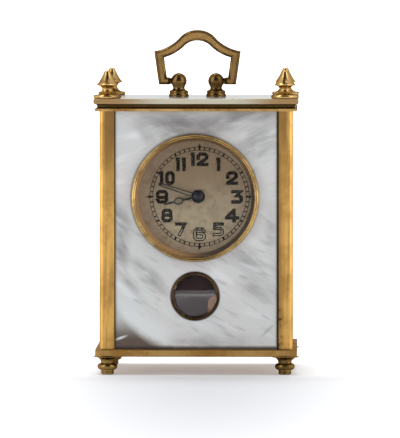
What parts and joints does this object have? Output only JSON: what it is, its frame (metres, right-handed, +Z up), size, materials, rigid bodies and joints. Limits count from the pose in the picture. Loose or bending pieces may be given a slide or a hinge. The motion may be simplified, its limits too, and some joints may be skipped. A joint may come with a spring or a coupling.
{
  "type": "miniature carriage clock",
  "caption": "Miniature carriage clock: mother-of-pearl panels in a gilt brass case with turned finials, folding handle, round dial, small window, glazed rear door and spring-wound movement.",
  "frame": {"origin": "middle of the footprint, on the table", "axes": "+Z up, the dial faces -Y, +X to the right of someone looking at the dial"},
  "size_m": [0.0536, 0.044, 0.0895],
  "materials": {
    "gilt_brass": "polished, mellowed gilt",
    "bezel_brass": "polished",
    "mother_of_pearl": "polished, iridescent",
    "clear_glass": "clear",
    "window_glass": "convex, glossy",
    "silvered_dial": "aged matte silvering",
    "black_steel": "blackened",
    "movement_brass": "fine brushed",
    "bright_steel": "polished",
    "spring_steel": "blued",
    "burgundy_lining": "dark, worn",
    "backing_card": "matte"
  },
  "bodies": {
    "case": {"base_plate": "gilt_brass", "feet": "gilt_brass", "front_posts": "gilt_brass", "rear_posts": "gilt_brass", "front_panel": "mother_of_pearl", "left_panel": "mother_of_pearl", "right_panel": "mother_of_pearl", "top_plate": "gilt_brass", "top_slab": "mother_of_pearl", "finials": "gilt_brass", "handle_lugs": "gilt_brass", "lug_nuts": "gilt_brass", "bezel": "bezel_brass", "crystal": "clear_glass", "dial_housing": "bezel_brass", "rehaut_ring": "bezel_brass", "dial": "silvered_dial", "window_rim": "bezel_brass", "window_glass": "window_glass", "window_lining": "burgundy_lining", "window_card": "backing_card", "front_plate": "movement_brass", "back_plate": "movement_brass", "movement_pillars": "movement_brass", "movement_screws": "bright_steel", "click_spring": "spring_steel", "hairspring": "spring_steel", "balance_cock": "movement_brass"},
    "handle": {"handle": "gilt_brass"},
    "door": {"door_frame": "gilt_brass", "door_glass": "clear_glass", "door_pivots": "bright_steel", "door_knob": "gilt_brass"},
    "minute_work": {"center_arbor": "bright_steel", "cannon_pinion": "bright_steel", "minute_hand": "black_steel", "hand_cap": "black_steel", "setting_knob": "movement_brass"},
    "minute_wheel": {"minute_wheel": "movement_brass"},
    "hour_work": {"hour_wheel": "movement_brass", "hour_hand": "black_steel"},
    "fourth": {"fourth_wheel": "movement_brass", "fourth_arbor": "bright_steel"},
    "third": {"third_wheel": "movement_brass", "third_arbor": "bright_steel"},
    "center": {"center_wheel": "movement_brass", "center_pinion": "bright_steel"},
    "barrel": {"barrel": "movement_brass", "barrel_cover": "movement_brass", "mainspring": "spring_steel"},
    "escape": {"escape_wheel": "movement_brass", "escape_arbor": "bright_steel"},
    "winding": {"barrel_arbor": "bright_steel", "ratchet_wheel": "bright_steel", "winding_key": "movement_brass"},
    "click": {"click": "bright_steel"},
    "balance": {"balance_wheel": "movement_brass", "balance_staff": "bright_steel"},
    "lever": {"pallet_fork": "bright_steel"},
    "regulator": {"regulator": "bright_steel"}
  },
  "joints": [
    {"name": "handle_fold", "type": "hinge", "parent": "case", "child": "handle", "pos_m": [0, 0, 0.07605], "axis": [1, 0, 0], "range_deg": [-100, 100]},
    {"name": "door_swing", "type": "hinge", "parent": "case", "child": "door", "pos_m": [0.01965, 0.01885, 0.03768], "axis": [0, 0, -1], "range_deg": [0, 95]},
    {"name": "hand_setting", "type": "hinge", "parent": "case", "child": "minute_work", "pos_m": [0.0005, 0, 0.04635], "axis": [0, 1, 0], "continuous": true},
    {"name": "minute_wheel_turn", "type": "hinge", "parent": "case", "child": "minute_wheel", "pos_m": [0.0029, 0, 0.04219], "axis": [0, 1, 0], "continuous": true},
    {"name": "hour_turn", "type": "hinge", "parent": "case", "child": "hour_work", "pos_m": [0.0005, 0, 0.04635], "axis": [0, 1, 0], "continuous": true},
    {"name": "fourth_turn", "type": "hinge", "parent": "case", "child": "fourth", "pos_m": [0.00543, 0, 0.05389], "axis": [0, 1, 0], "continuous": true},
    {"name": "third_turn", "type": "hinge", "parent": "case", "child": "third", "pos_m": [0.0083, 0, 0.04772], "axis": [0, 1, 0], "continuous": true},
    {"name": "center_turn", "type": "hinge", "parent": "case", "child": "center", "pos_m": [0.0005, 0, 0.04635], "axis": [0, 1, 0], "continuous": true},
    {"name": "barrel_turn", "type": "hinge", "parent": "case", "child": "barrel", "pos_m": [-0.00387, 0, 0.03877], "axis": [0, 1, 0], "continuous": true},
    {"name": "escape_turn", "type": "hinge", "parent": "case", "child": "escape", "pos_m": [-0.00064, 0, 0.05496], "axis": [0, 1, 0], "continuous": true},
    {"name": "winding_turn", "type": "hinge", "parent": "case", "child": "winding", "pos_m": [-0.00387, 0, 0.03877], "axis": [0, -1, 0], "range_deg": [0, 1890], "deforming": ["mainspring"]},
    {"name": "click_lift", "type": "hinge", "parent": "case", "child": "click", "pos_m": [-0.00731, 0, 0.04422], "axis": [0, 1, 0], "range_deg": [0, 9], "stiffness_Nm_per_rad": 0.001, "springref_deg": -2.86, "deforming": ["click_spring"]},
    {"name": "balance_swing", "type": "hinge", "parent": "case", "child": "balance", "pos_m": [-0.00735, 0, 0.05402], "axis": [0, 1, 0], "range_deg": [-135, 135], "stiffness_Nm_per_rad": 0.00000185, "deforming": ["hairspring"]},
    {"name": "lever_rock", "type": "hinge", "parent": "case", "child": "lever", "pos_m": [-0.00359, 0, 0.05666], "axis": [0, 1, 0], "range_deg": [-4, 4]},
    {"name": "regulator_turn", "type": "hinge", "parent": "case", "child": "regulator", "pos_m": [-0.00735, 0, 0.05402], "axis": [0, 1, 0], "range_deg": [-20, 20]}
  ],
  "couplings": [
    {"joint": "minute_wheel_turn", "follows": "hand_setting", "ratio": -0.33333},
    {"joint": "hour_turn", "follows": "hand_setting", "ratio": 0.083333},
    {"joint": "third_turn", "follows": "fourth_turn", "ratio": -0.13333},
    {"joint": "center_turn", "follows": "fourth_turn", "ratio": 0.016667},
    {"joint": "barrel_turn", "follows": "fourth_turn", "ratio": -0.0027778},
    {"joint": "escape_turn", "follows": "fourth_turn", "ratio": -10}
  ]
}
